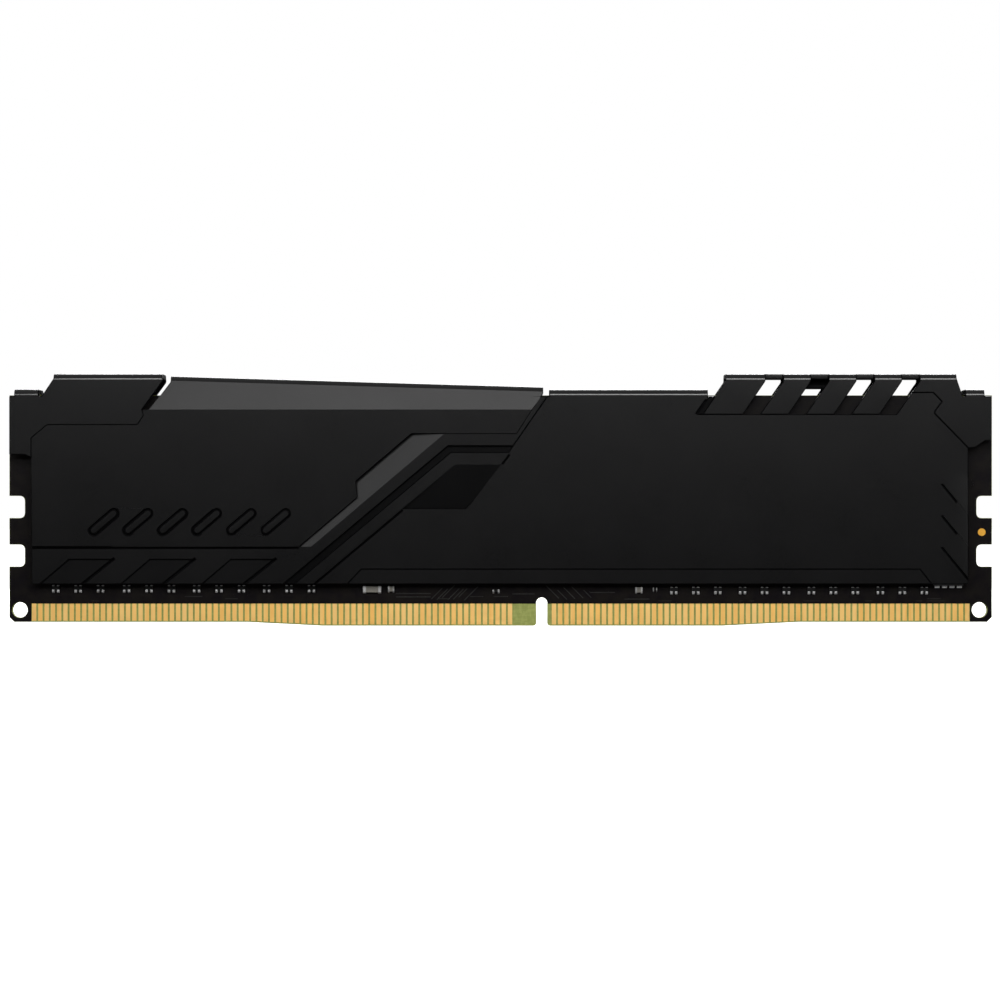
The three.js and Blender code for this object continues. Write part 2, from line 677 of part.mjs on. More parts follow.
const chipGeometry = memoryChip();
const rearChipGeometry = reflected(chipGeometry);
CHIP.middleXs.forEach((x, i) => {
  addPiece(`front_memory_chip_${i + 1}`, chipGeometry, FINISH.chip, x, -BOARD_FACE, CHIP.middleZ);
  addPiece(`rear_memory_chip_${i + 1}`, rearChipGeometry, FINISH.chip, x, BOARD_FACE, CHIP.middleZ);
});
const { x: chipX, z: chipZ } = CONFIGURATION_CHIP;
addPiece("configuration_chip", configurationChip(), FINISH.chip, chipX, -BOARD_FACE, chipZ);

const leftContacts = contactStrip(-CONTACT.outerX, CONTACT.leftCount);
const rightFirstX = CONTACT.outerX - (CONTACT.rightCount - 1) * CONTACT.pitch;
const rightContacts = contactStrip(rightFirstX, CONTACT.rightCount);
addPiece("front_left_contacts", leftContacts, FINISH.gold);
addPiece("front_right_contacts", rightContacts, FINISH.gold);
addPiece("rear_left_contacts", reflected(toGeometry(toSolid(leftContacts))), FINISH.gold);
addPiece("rear_right_contacts", reflected(toGeometry(toSolid(rightContacts))), FINISH.gold);
addPiece("test_pad", testPad(), FINISH.gold);

const resistorGeometry = resistorPack();
for (const { side, starts, perGroup, pitch, middleZ } of RESISTOR_ROWS) {
  starts.forEach((start, group) => {
    for (let i = 0; i < perGroup; i += 1) {
      const name = `${side}_resistor_pack_${group * perGroup + i + 1}`;
      addPiece(name, resistorGeometry, FINISH.resistor, start + i * pitch, -BOARD_FACE, middleZ);
    }
  });
}
for (const part of END_CAP_PARTS) {
  const finish = part.name.endsWith("resistor") ? FINISH.resistor : FINISH.capacitor;
  addPiece(part.name, endCapPart(part), finish, part.x, -BOARD_FACE, part.z);
}

export default memoryModule;
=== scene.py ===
import math
import random

import bmesh
import bpy
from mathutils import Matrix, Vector


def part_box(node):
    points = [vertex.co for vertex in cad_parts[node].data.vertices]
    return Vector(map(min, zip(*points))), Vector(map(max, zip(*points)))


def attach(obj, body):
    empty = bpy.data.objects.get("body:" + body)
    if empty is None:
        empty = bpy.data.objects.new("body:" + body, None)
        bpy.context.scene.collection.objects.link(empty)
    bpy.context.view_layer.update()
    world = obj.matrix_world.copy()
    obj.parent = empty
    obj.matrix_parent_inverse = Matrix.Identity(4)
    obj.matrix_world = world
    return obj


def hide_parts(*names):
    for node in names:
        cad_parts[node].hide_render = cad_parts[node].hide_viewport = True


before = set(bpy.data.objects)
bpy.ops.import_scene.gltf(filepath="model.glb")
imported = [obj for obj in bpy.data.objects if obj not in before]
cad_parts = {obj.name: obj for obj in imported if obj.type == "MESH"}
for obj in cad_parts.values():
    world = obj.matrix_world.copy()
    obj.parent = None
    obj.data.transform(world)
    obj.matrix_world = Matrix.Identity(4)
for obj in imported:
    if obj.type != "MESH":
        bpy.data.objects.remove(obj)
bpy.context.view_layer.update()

MM = 0.001
FRONT = -1  # side of the middle plane, as the sign of Y
REAR = 1
SIDES = {FRONT: "front", REAR: "rear"}


# ---------------------------------------------------------------------------
# Node trees
# ---------------------------------------------------------------------------

def new_material(name, **uniform):
    """A material with one Principled shader, and its uniform inputs set on it."""
    material = bpy.data.materials.new(name)
    material.use_nodes = True
    shader = material.node_tree.nodes["Principled BSDF"]
    for key, value in uniform.items():
        shader.inputs[key.replace("_", " ")].default_value = value
    return material, material.node_tree, shader


def connect(tree, value, socket):
    """Links a socket, or sets a plain value."""
    if isinstance(value, bpy.types.NodeSocket):
        tree.links.new(value, socket)
    else:
        socket.default_value = value


def object_position(tree):
    return tree.nodes.new("ShaderNodeTexCoord").outputs["Object"]


def generated_position(tree):
    return tree.nodes.new("ShaderNodeTexCoord").outputs["Generated"]


def tree_node(tree, kind, **inputs):
    node = tree.nodes.new(kind)
    for key, value in inputs.items():
        connect(tree, value, node.inputs[key.replace("_", " ")])
    return node


def calc(tree, operation, a, b=0.0):
    """The result of a math node, such as ADD or MULTIPLY."""
    node = tree.nodes.new("ShaderNodeMath")
    node.operation = operation
    connect(tree, a, node.inputs[0])
    connect(tree, b, node.inputs[1])
    return node.outputs[0]


def noise(tree, vector, size, detail=2.0):
    """Even noise between 0 and 1, its features about as wide as size."""
    return tree_node(tree, "ShaderNodeTexNoise", Vector=vector, Scale=1 / size, Detail=detail).outputs["Fac"]


def remap(tree, value, low, high, to_low, to_high):
    """Carries a value from one range into another, and keeps it inside that one."""
    made = tree_node(
        tree, "ShaderNodeMapRange", Value=value, From_Min=low, From_Max=high, To_Min=to_low, To_Max=to_high)
    return made.outputs["Result"]


def mix_colours(tree, factor, a, b):
    """A colour between two RGBA colours."""
    node = tree.nodes.new("ShaderNodeMix")
    node.data_type = "RGBA"
    first, second = [socket for socket in node.inputs if socket.type == "RGBA"]
    connect(tree, factor, node.inputs["Factor"])
    connect(tree, a, first)
    connect(tree, b, second)
    return next(socket for socket in node.outputs if socket.type == "RGBA")


def stretched(tree, vector, x, y, z):
    """Coordinates scaled along each axis. A noise runs long where the scale is small."""
    node = tree.nodes.new("ShaderNodeMapping")
    connect(tree, vector, node.inputs["Vector"])
    node.inputs["Scale"].default_value = (x, y, z)
    return node.outputs["Vector"]


def bump(tree, height, distance, strength):
    made = tree_node(tree, "ShaderNodeBump", Height=height, Distance=distance, Strength=strength)
    return made.outputs["Normal"]


def colour(red, green, blue):
    return (red, green, blue, 1)


def grey(level):
    return colour(level, level, level)


# ---------------------------------------------------------------------------
# Materials
# ---------------------------------------------------------------------------

def spreader_coating(name, roughness, specular):
    """Satin black coating on aluminium, with a fine grain and slightly uneven gloss."""
    material, tree, shader = new_material(name, Specular_IOR_Level=specular)
    place = object_position(tree)
    grain = noise(tree, place, 0.09 * MM, detail=3)
    cloud = noise(tree, place, 7 * MM, detail=3)
    black = mix_colours(tree, cloud, colour(0.0015, 0.0015, 0.0017), colour(0.002, 0.002, 0.0022))
    connect(tree, black, shader.inputs["Base Color"])
    unevenness = remap(tree, cloud, 0.3, 0.7, roughness - 0.01, roughness + 0.01)
    gloss = calc(tree, "ADD", unevenness, remap(tree, grain, 0.3, 0.7, -0.02, 0.02))
    connect(tree, gloss, shader.inputs["Roughness"])
    connect(tree, bump(tree, grain, 0.004 * MM, 0.6), shader.inputs["Normal"])
    return material


def laminate():
    """Bare glass and epoxy laminate, as it shows between the contacts and along the board's edges."""
    material, tree, shader = new_material("laminate", Roughness=0.5)
    place = object_position(tree)
    weave = calc(tree, "MULTIPLY",
                 noise(tree, stretched(tree, place, 0.25, 1, 1), 0.2 * MM),
                 noise(tree, stretched(tree, place, 1, 1, 0.25), 0.2 * MM))
    cover = remap(tree, weave, 0.15, 0.35, 0, 1)
    green = mix_colours(tree, cover, colour(0.185, 0.21, 0.034), colour(0.245, 0.275, 0.06))
    connect(tree, green, shader.inputs["Base Color"])
    connect(tree, bump(tree, weave, 0.02 * MM, 0.4), shader.inputs["Normal"])
    return material


def solder_mask():
    """Purplish black lacquer with a faint mottling from the copper below."""
    material, tree, shader = new_material("solder_mask", Roughness=0.34, Specular_IOR_Level=0.07)
    place = object_position(tree)
    mottle = remap(tree, noise(tree, place, 1.2 * MM, detail=4), 0.35, 0.65, 0, 1)
    black = mix_colours(tree, mottle, colour(0.0026, 0.0018, 0.0026), colour(0.0052, 0.0042, 0.0036))
    connect(tree, black, shader.inputs["Base Color"])
    connect(tree, bump(tree, noise(tree, place, 0.4 * MM), 0.01 * MM, 0.3), shader.inputs["Normal"])
    return material


def covered_copper():
    """Traces that stand out a little under the lacquer."""
    material, tree, shader = new_material("covered_copper", Roughness=0.3, Specular_IOR_Level=0.14)
    place = object_position(tree)
    tone = noise(tree, place, 0.7 * MM)
    dark_metal = mix_colours(tree, tone, grey(0.005), colour(0.024, 0.024, 0.022))
    connect(tree, dark_metal, shader.inputs["Base Color"])
    return material


def gold_plating(name, dark, light):
    """Gold plating between two shades, a little different on each contact, with fine wiping marks along Z."""
    material, tree, shader = new_material(name, Metallic=1.0)
    place = object_position(tree)
    tone = noise(tree, stretched(tree, place, 1, 1, 0.05), 1.1 * MM, detail=1)
    marks = noise(tree, stretched(tree, place, 1, 1, 0.04), 0.05 * MM)
    gold = mix_colours(tree, remap(tree, tone, 0.3, 0.7, 0, 1), dark, light)
    connect(tree, gold, shader.inputs["Base Color"])
    connect(tree, remap(tree, marks, 0.3, 0.7, 0.34, 0.46), shader.inputs["Roughness"])
    connect(tree, bump(tree, marks, 0.003 * MM, 0.5), shader.inputs["Normal"])
    return material


def grained(name, size, shades, roughness, detail=3, relief=0, strength=0.6, **uniform):
    """A material whose grain carries its shade, its roughness and, if it has any, its relief."""
    material, tree, shader = new_material(name, **uniform)
    grain = noise(tree, object_position(tree), size, detail)
    connect(tree, mix_colours(tree, grain, *shades), shader.inputs["Base Color"])
    connect(tree, remap(tree, grain, 0.3, 0.7, *roughness), shader.inputs["Roughness"])
    if relief:
        connect(tree, bump(tree, grain, relief, strength), shader.inputs["Normal"])
    return material


def tin(name, shades):
    """Tinned terminals and solder."""
    return grained(name, 0.12 * MM, shades, (0.25, 0.45), relief=0.01 * MM, Metallic=1.0)


def moulded_epoxy():
    """Dark grey moulding compound of the chips."""
    return grained("moulded_epoxy", 0.07 * MM, (grey(0.012), grey(0.024)), (0.5, 0.65), relief=0.01 * MM)


def ceramic(name, shades, specular):
    """Fired ceramic of the small parts."""
    return grained(name, 0.1 * MM, shades, (0.35, 0.5), Specular_IOR_Level=specular)


def silicone():
    """Grey thermal pad, dull and slightly mottled by its filler."""
    shades = (colour(0.24, 0.25, 0.27), colour(0.34, 0.35, 0.37))
    return grained("silicone", 0.25 * MM, shades, (0.75, 0.9), detail=4, relief=0.03 * MM, strength=0.5)


COATING = spreader_coating("spreader_coating", roughness=0.3, specular=0.15)
# A smoother, shinier copy of the coating for the bends at the top, which brightens their highlights: painted
# highlight.
BEND_HIGHLIGHT_COATING = spreader_coating("bend_painted_highlight_coating", roughness=0.16, specular=0.5)
# A less shiny copy for the floor of the groove between the bands, which makes it darker: painted shade.
GROOVE_SHADE_COATING = spreader_coating("groove_painted_shade_coating", roughness=0.3, specular=0.05)
# A near-black, dull copy for edges, small steps, scored grooves and the plate's inner faces, which draws them
# as dark lines: painted shade.
EDGE_SHADE_COATING = spreader_coating("edge_painted_shade_coating", roughness=0.45, specular=0.02)
LAMINATE = laminate()
MASK = solder_mask()
COPPER = covered_copper()
GOLD = gold_plating("gold_plating", colour(0.9, 0.52, 0.145), colour(0.9, 0.59, 0.215))
THIN_GOLD = gold_plating("thin_gold_plating", colour(0.6, 0.29, 0.035), colour(0.68, 0.36, 0.055))
TIN = tin("tin", (grey(0.3), grey(0.5)))
# Paler tin for the configuration chip's leads, which shows them as lit though the plate shades them: painted
# light.
PAINTED_LIGHT_TIN = tin("painted_light_tin", (grey(0.7), grey(0.9)))
EPOXY = moulded_epoxy()
RESISTIVE = ceramic("resistive_film", (grey(0.004), grey(0.01)), specular=0.08)
CERAMIC = ceramic("capacitor_ceramic", (colour(0.05, 0.047, 0.04), colour(0.2, 0.19, 0.16)), specular=0.5)
SILICONE = silicone()


# ---------------------------------------------------------------------------
# Meshes
# ---------------------------------------------------------------------------

def piece_from(mesh, name, materials, node=None):
    """Makes a shown piece of a bmesh. It stands for a CAD node, if one is given."""
    data = bpy.data.meshes.new(name)
    bmesh.ops.recalc_face_normals(mesh, faces=mesh.faces)
    mesh.to_mesh(data)
    mesh.free()
    piece = bpy.data.objects.new(name, data)
    bpy.context.scene.collection.objects.link(piece)
    for material in materials:
        data.materials.append(material)
    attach(piece, "root")
    if node:
        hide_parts(node)
    return piece


FLAT_TURN = math.radians(1)  # faces that turn less than this are one flat face
THIN_POINT = math.radians(12)  # a corner sharper than this leaves no room for a rounded edge


def merge_flat_faces(mesh):
    bmesh.ops.dissolve_limit(mesh, angle_limit=FLAT_TURN, verts=mesh.verts, edges=mesh.edges, delimit=set())


def welded_copy(node):
    """The CAD node's mesh without doubled corners and with whole flat faces."""
    mesh = bmesh.new()
    mesh.from_mesh(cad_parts[node].data)
    bmesh.ops.remove_doubles(mesh, verts=mesh.verts, dist=0.002 * MM)
    merge_flat_faces(mesh)
    return mesh


def tapers(face):
    """Tells whether a face runs out to a thin point."""
    return any(loop.calc_angle() < THIN_POINT for loop in face.loops)


def round_edges(mesh, width, segments, over_degrees=20):
    """Rounds every edge at which the surface turns by more than an angle."""
    edges = [edge for edge in mesh.edges if len(edge.link_faces) == 2
             and edge.calc_face_angle() > math.radians(over_degrees)
             and not any(tapers(face) for face in edge.link_faces)]
    bmesh.ops.bevel(mesh, geom=edges, offset=width, offset_type="OFFSET", segments=segments, profile=0.5,
                    affect="EDGES", clamp_overlap=False)


WIDE = 18 * MM * MM  # a face of more than this area is drawn perfectly flat
SAME_FACE = 3  # turns in degrees: below this, two faces share their shading
SHALLOW_CREASE = 14  # from the one above up to this, a crease between two pressed faces stays visible
HARD_CREASE = 50  # and so does any crease from here on


def corner_normal(face, corner, areas):
    """The normal of one corner of a narrow face, blended with the faces it turns into by their areas."""
    total = Vector()
    for other in corner.link_faces:
        turn = math.degrees(other.normal.angle(face.normal, 0))
        if turn < SAME_FACE or SHALLOW_CREASE < turn < HARD_CREASE:
            total += other.normal * areas[other.index]
    return total.normalized()


def shade(piece):
    """Flat wide faces, with rounded edges that run smoothly into them."""
    mesh = bmesh.new()
    mesh.from_mesh(piece.data)
    areas = [face.calc_area() for face in mesh.faces]
    normals = []
    for face in mesh.faces:
        face.smooth = True
        flat = areas[face.index] > WIDE
        for corner in face.verts:
            normals.append(face.normal.copy() if flat else corner_normal(face, corner, areas))
    mesh.to_mesh(piece.data)
    mesh.free()
    piece.data.normals_split_custom_set(normals)


def finished_node(node, material, width):
    """A CAD node with its edges rounded."""
    mesh = welded_copy(node)
    round_edges(mesh, width, segments=2)
    piece = piece_from(mesh, f"{node}_finished", [material], node)
    shade(piece)
    return piece


def add_block(mesh, low, high, width, material=0, segments=2):
    """Adds a box with rounded edges, given by its lowest and highest corners, to a mesh."""
    made = bmesh.ops.create_cube(mesh, size=1)
    corners = made["verts"]
    centre = (low + high) / 2
    size = high - low
    for corner in corners:
        corner.co = centre + Vector(corner.co[i] * size[i] for i in range(3))
    edges = list({edge for corner in corners for edge in corner.link_edges})
    rounded = bmesh.ops.bevel(mesh, geom=edges, offset=width, offset_type="OFFSET", segments=segments,
                              profile=0.5, affect="EDGES", clamp_overlap=True)
    faces = {face for vertex in rounded["verts"] for face in vertex.link_faces}
    for face in faces:
        face.material_index = material


def add_fillet(mesh, x_low, x_high, face_y, edge_z, reach, rise, material):
    """Adds solder that slopes from the foot of a terminal out onto the board; reach is signed along Z."""
    hollow = (face_y - rise * 0.45, reach * 0.35)  # the slope sags to this point
    profile = [(face_y, 0), (face_y - rise, 0), hollow, (face_y, reach)]
    ends = [[mesh.verts.new((x, y, edge_z + dz)) for y, dz in profile] for x in (x_low, x_high)]
    faces = [mesh.faces.new(ends[0]), mesh.faces.new(ends[1])]
    for i in range(len(profile)):
        following = (i + 1) % len(profile)
        faces.append(mesh.faces.new((ends[0][i], ends[0][following], ends[1][following], ends[1][i])))
    for face in faces:
        face.material_index = material


# ---------------------------------------------------------------------------
# Heat spreaders, chips and pads
# ---------------------------------------------------------------------------

CHIPS_PER_FACE = 8

# A facet of a bend lies above a height, is smaller than an area, and faces up by an angle between two.
BEND_FOOT = 31 * MM
BEND_AREA = 40 * MM * MM
BEND_TURNS = (4, 80)  # in degrees

UPRIGHT = 0.75  # share of its normal along Y above which a face counts as part of the upright sheet
NARROW = 0.35 * MM  # faces below this width are edges, small steps and scored grooves
BAND_GROOVE_Y = 2.5 * MM  # distance of the floor of the groove between the two bands
GROOVE_MARGIN = 0.03 * MM
PLAIN, BENT, GROOVE, EDGE = range(4)  # places of the coatings in a plate's list of materials: plain, the bends' painted highlight, the groove's painted shade, and the near-black painted shade of edges and inner faces


def continues(face):
    """Tells whether a face runs on, without turning, into a wide one."""
    others = [other for edge in face.edges for other in edge.link_faces if other is not face]
    level = [other for other in others if other.normal.angle(face.normal, 0) < FLAT_TURN]
    return any(other.calc_area() > WIDE for other in level)


def coating_index(face, side):
    """Which coating a face has: plain, shinier on a bend as painted highlight, darker in the band groove as
    painted shade, or near-black on edges and inside as painted shade.
    """
    area = face.calc_area()
    centre = face.calc_center_median()
    outward = face.normal.y * side
    upward = math.degrees(math.asin(max(-1, min(1, face.normal.z))))
    on_fold = centre.z > BEND_FOOT and centre.y * side > 0 and area < BEND_AREA
    along_x = abs(face.normal.x) < 0.1
    if on_fold and along_x and outward > 0 and BEND_TURNS[0] < upward < BEND_TURNS[1]:
        return BENT
    mean_width = 2 * area / face.calc_perimeter()
    # Edges, narrow steps and inner faces take the near-black coating: painted shade.
    if outward < UPRIGHT or (mean_width < NARROW and not continues(face)):
        return EDGE
    if abs(centre.y * side - BAND_GROOVE_Y) < GROOVE_MARGIN:
        return GROOVE
    return PLAIN


def heat_spreader(side):
    """A coated plate, with a painted highlight from a shinier coating on the bends at the top, and painted
    shade from darker coatings in the band groove, along its edges and on the inside.
    """
    plate = finished_node(f"{SIDES[side]}_heat_spreader", COATING, 0.1 * MM)
    for material in (BEND_HIGHLIGHT_COATING, GROOVE_SHADE_COATING, EDGE_SHADE_COATING):
        plate.data.materials.append(material)
    mesh = bmesh.new()
    mesh.from_mesh(plate.data)
    indices = [coating_index(face, side) for face in mesh.faces]
    mesh.free()
    plate.data.polygons.foreach_set("material_index", indices)


def memory_chips(side):
    for i in range(CHIPS_PER_FACE):
        finished_node(f"{SIDES[side]}_memory_chip_{i + 1}", EPOXY, 0.04 * MM)


def thermal_pad(side):
    """A soft pad, squeezed out a little along its edges."""
    node = f"{SIDES[side]}_thermal_pad"
    low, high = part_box(node)
    mesh = bmesh.new()
    add_block(mesh, low, high, (high.y - low.y) * 0.45, segments=4)
    shade(piece_from(mesh, f"{node}_silicone", [SILICONE], node))


# ---------------------------------------------------------------------------
# Circuit board
# ---------------------------------------------------------------------------

MASK_THICKNESS = 0.02 * MM
MASK_MARGIN = 0.035 * MM  # bare laminate along the board's edges
MASK_FOOT = 2.94 * MM  # the lacquer ends this high, just above the contacts
CONTACT_CUT = 2.99 * MM  # just below the top of the contacts
KEY_X = 5.575 * MM  # middle of the key notch
CUT_PRECISION = 0.0001 * MM
BOARD_LOW, BOARD_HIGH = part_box("circuit_board")


def board_face_y(side):
    return BOARD_HIGH.y if side == REAR else BOARD_LOW.y


def circuit_board():
    """The board's laminate, with the dark solder mask material on its long upper edge as painted shade."""
    board = finished_node("circuit_board", LAMINATE, 0.03 * MM)
    board.data.materials.append(MASK)
    # The upper edge takes the dark mask material, which hides the light that falls on it: painted shade.
    painted_shade_from = BOARD_HIGH.z - 0.05 * MM
    for polygon in board.data.polygons:
        if polygon.center.z > painted_shade_from:
            polygon.material_index = 1


def cut_along(mesh, place, normal, clear_outer=False):
    """Cuts a mesh along a plane, and returns what lies on the cut."""
    geometry = mesh.verts[:] + mesh.edges[:] + mesh.faces[:]
    cut = bmesh.ops.bisect_plane(
        mesh, geom=geometry, plane_co=place, plane_no=normal, clear_outer=clear_outer, dist=CUT_PRECISION)
    return cut["geom_cut"]


def lacquer(side):
    """Solder mask over one face of the board, except where the contacts lie."""
    mesh = welded_copy("circuit_board")
    others = [face for face in mesh.faces if face.normal.y * side < 0.9]
    bmesh.ops.delete(mesh, geom=others, context="FACES")
    gap = 0.02 * MM  # between the outermost contacts and the lacquer beside them
    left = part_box("front_left_contacts")[0].x - gap
    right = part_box("front_right_contacts")[1].x + gap
    cut_along(mesh, (0, 0, MASK_FOOT), (0, 0, 1))
    cut_along(mesh, (left, 0, 0), (1, 0, 0))
    cut_along(mesh, (right, 0, 0), (1, 0, 0))
    bare = []
    for face in mesh.faces:
        centre = face.calc_center_median()
        if centre.z < MASK_FOOT and left < centre.x < right:
            bare.append(face)
    bmesh.ops.delete(mesh, geom=bare, context="FACES")
    merge_flat_faces(mesh)
    rim = bmesh.ops.inset_region(mesh, faces=mesh.faces[:], thickness=MASK_MARGIN, use_even_offset=True,
                                 use_boundary=True)
    bmesh.ops.delete(mesh, geom=rim["faces"], context="FACES")
    lifted = bmesh.ops.extrude_face_region(mesh, geom=mesh.faces[:], use_keep_orig=True)
    for vertex in lifted["geom"]:
        if isinstance(vertex, bmesh.types.BMVert):
            vertex.co.y += side * MASK_THICKNESS
    piece_from(mesh, f"{SIDES[side]}_solder_mask", [MASK])


def add_ribbon(mesh, points, width, near, far):
    """Adds a flat strip along points given as (x, z), between two distances in Y."""
    half = width / 2
    rows = []
    for i, (x, z) in enumerate(points):
        x0, z0 = points[max(i - 1, 0)]
        x1, z1 = points[min(i + 1, len(points) - 1)]
        across = Vector((z1 - z0, x0 - x1)).normalized() * half
        rows.append([mesh.verts.new((x + sign * across.x, y, z + sign * across.y))
                     for sign, y in ((-1, near), (-1, far), (1, far), (1, near))])
    for row, following in zip(rows, rows[1:]):
        for i in range(4):
            j = (i + 1) % 4
            mesh.faces.new((row[i], row[j], following[j], following[i]))
    mesh.faces.new(rows[0])
    mesh.faces.new(rows[-1])


# Tracks, in millimetres. Slanted groups: first X, count, spacing, lean. Level ones: both ends in X, and Z.
SLANTED_TRACES = ((-9.4, 7, 0.74, 1), (7.9, 5, 1.1, -1))
LEVEL_TRACES = (
    (-14.2, -9.5, 4.35), (-14.2, -9.5, 3.9), (1.6, 4.6, 4.3), (12.1, 15.5, 4.5), (16.8, 20.2, 3.6),
)
SHORT_TRACE_COUNT = 16  # tries at further short tracks; those that start near the key notch are left out
SHORT_TRACE_GAP = 5 * MM  # from the middle of the key notch
TRACE_WIDTH = 0.13 * MM
TRACE_LIFT = 0.008 * MM  # how far the tracks stand out of the lacquer


def traces(side):
    """Copper tracks that show through the lacquer: slanted beside the key notch, and level ones elsewhere."""
    draw = random.Random(11 + side)
    mesh = bmesh.new()
    near = board_face_y(side) + side * MASK_THICKNESS / 2
    far = board_face_y(side) + side * (MASK_THICKNESS + TRACE_LIFT)
    for first, count, spacing, lean in SLANTED_TRACES:
        for i in range(count):
            x = (first + i * spacing) * MM
            rise = draw.uniform(0.9, 1.9) * MM
            foot = draw.uniform(3.4, 3.9) * MM
            add_ribbon(mesh, [(x, foot), (x + lean * rise, foot + rise)], TRACE_WIDTH, near, far)
    for x0, x1, z in LEVEL_TRACES:
        add_ribbon(mesh, [(x0 * MM, z * MM), (x1 * MM, z * MM)], TRACE_WIDTH, near, far)
    for _ in range(SHORT_TRACE_COUNT):
        x = draw.uniform(-61, 60) * MM
        z = draw.choice((3.35, 3.65, 3.95)) * MM
        if abs(x - KEY_X) > SHORT_TRACE_GAP:
            length = draw.uniform(0.8, 2.5) * MM
            add_ribbon(mesh, [(x, z), (x + length, z)], TRACE_WIDTH * 0.7, near, far)
    piece_from(mesh, f"{SIDES[side]}_traces", [COPPER])


def add_disc(mesh, x, z, radius, near, far, sides=16):
    """Adds a round disc around a point, between two distances in Y."""
    turns = [2 * math.pi * i / sides for i in range(sides)]
    rings = [[mesh.verts.new((x + radius * math.cos(turn), y, z + radius * math.sin(turn))) for turn in turns]
             for y in (near, far)]
    for i in range(sides):
        j = (i + 1) % sides
        mesh.faces.new((rings[0][i], rings[0][j], rings[1][j], rings[1][i]))
    mesh.faces.new(rings[0])
    mesh.faces.new(rings[1])


VIA_LIFT = 0.012 * MM  # how far the covered through-holes stand out of the lacquer
VIA_COUNT = 26  # tries along the contacts; those that meet the key notch are left out
END_VIA_COUNT = 9  # at each end of the board, beside the plates


def vias(side):
    """Lacquered through-holes scattered over the open parts of the board."""
    draw = random.Random(31 + side)
    mesh = bmesh.new()
    near = board_face_y(side) + side * MASK_THICKNESS / 2
    far = board_face_y(side) + side * (MASK_THICKNESS + VIA_LIFT)
    for _ in range(VIA_COUNT):
        x = draw.uniform(BOARD_LOW.x + 4 * MM, BOARD_HIGH.x - 4 * MM)
        if abs(x - KEY_X) < 1.5 * MM:
            continue
        z = draw.uniform(3.5, 5.9) * MM
        add_disc(mesh, x, z, draw.uniform(0.11, 0.16) * MM, near, far)
    for end in (-1, 1):
        for _ in range(END_VIA_COUNT):
            x = end * draw.uniform(63.9, 64.3) * MM
            add_disc(mesh, x, draw.uniform(4.5, 22) * MM, 0.13 * MM, near, far)
    piece_from(mesh, f"{SIDES[side]}_vias", [MASK])


def contacts(side, strip):
    """Separate gold contacts, cut off below the plating that joins them under the lacquer."""
    node = f"{SIDES[side]}_{strip}_contacts"
    mesh = welded_copy(node)
    cut = cut_along(mesh, (0, 0, CONTACT_CUT), (0, 0, 1), clear_outer=True)
    edges = [part for part in cut if isinstance(part, bmesh.types.BMEdge)]
    bmesh.ops.holes_fill(mesh, edges=edges, sides=0)
    round_edges(mesh, 0.012 * MM, segments=1, over_degrees=40)
    piece_from(mesh, f"{node}_plated", [GOLD], node)


# ---------------------------------------------------------------------------
# Small parts
# ---------------------------------------------------------------------------

BODY, METAL = range(2)  # places of the body's material and the terminals' in a small part's list


def resistor_pack(node):
    """Two film resistors side by side on one body, with a terminal at each corner."""
    low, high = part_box(node)
    mesh = bmesh.new()
    margin = 0.05 * MM  # of the body inside the terminals
    film_depth = 0.04 * MM  # of the body's face behind the terminals' faces
    body_low = Vector((low.x + margin, low.y + film_depth, low.z + margin))
    body_high = Vector((high.x - margin, high.y, high.z - margin))
    add_block(mesh, body_low, body_high, 0.03 * MM, BODY)
    width = 0.34 * MM
    lower_end = low.z + 0.4 * MM
    upper_end = high.z - 0.12 * MM
    reach, rise = 0.07 * MM, 0.15 * MM  # of the solder
    for x_low in (low.x + margin, high.x - margin - width):
        x_high = x_low + width
        for z_low, z_high in ((low.z, lower_end), (upper_end, high.z)):
            terminal_low = Vector((x_low, low.y, z_low))
            terminal_high = Vector((x_high, high.y, z_high))
            add_block(mesh, terminal_low, terminal_high, 0.05 * MM, METAL)
        add_fillet(mesh, x_low, x_high, high.y, low.z, -reach, rise, METAL)
        add_fillet(mesh, x_low, x_high, high.y, high.z, reach, rise, METAL)
    shade(piece_from(mesh, f"{node}_soldered", [RESISTIVE, TIN], node))


def end_cap_part(node, body, cap):
    """A body with a tinned cap over each end and solder along the board."""
    low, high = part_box(node)
    mesh = bmesh.new()
    margin = 0.04 * MM  # of the body inside the caps
    reach, rise = 0.14 * MM, 0.2 * MM  # of the solder
    body_low = Vector((low.x + margin, low.y + margin, low.z + margin))
    body_high = Vector((high.x - margin, high.y, high.z - margin))
    add_block(mesh, body_low, body_high, 0.05 * MM, BODY)
    for x_low in (low.x, high.x - cap):
        x_high = x_low + cap
        add_block(mesh, Vector((x_low, low.y, low.z)), Vector((x_high, high.y, high.z)), 0.06 * MM, METAL)
        add_fillet(mesh, x_low, x_high, high.y, low.z, -reach, rise, METAL)
    shade(piece_from(mesh, f"{node}_soldered", [body, TIN], node))


def configuration_chip():
    """A small moulded chip with bent leads below and above it."""
    node = "configuration_chip"
    low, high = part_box(node)
    count, pitch = 4, 1.01 * MM  # of the leads on each side
    width, thickness = 0.65 * MM, 0.4 * MM  # of a lead
    foot = 0.3 * MM  # length of a lead outside the body
    length = foot + 0.1 * MM
    mesh = bmesh.new()
    body_low = Vector((low.x, low.y, low.z + foot))
    body_high = Vector((high.x, high.y, high.z - foot))
    add_block(mesh, body_low, body_high, 0.08 * MM, BODY)
    middle = (low.x + high.x) / 2
    for i in range(count):
        x = middle + (i - (count - 1) / 2) * pitch
        for z_low in (low.z, high.z - length):
            lead_low = Vector((x - width / 2, high.y - thickness, z_low))
            lead_high = Vector((x + width / 2, high.y, z_low + length))
            add_block(mesh, lead_low, lead_high, 0.03 * MM, METAL)
    # The leads take the paler tin: painted light.
    shade(piece_from(mesh, f"{node}_leaded", [EPOXY, PAINTED_LIGHT_TIN], node))


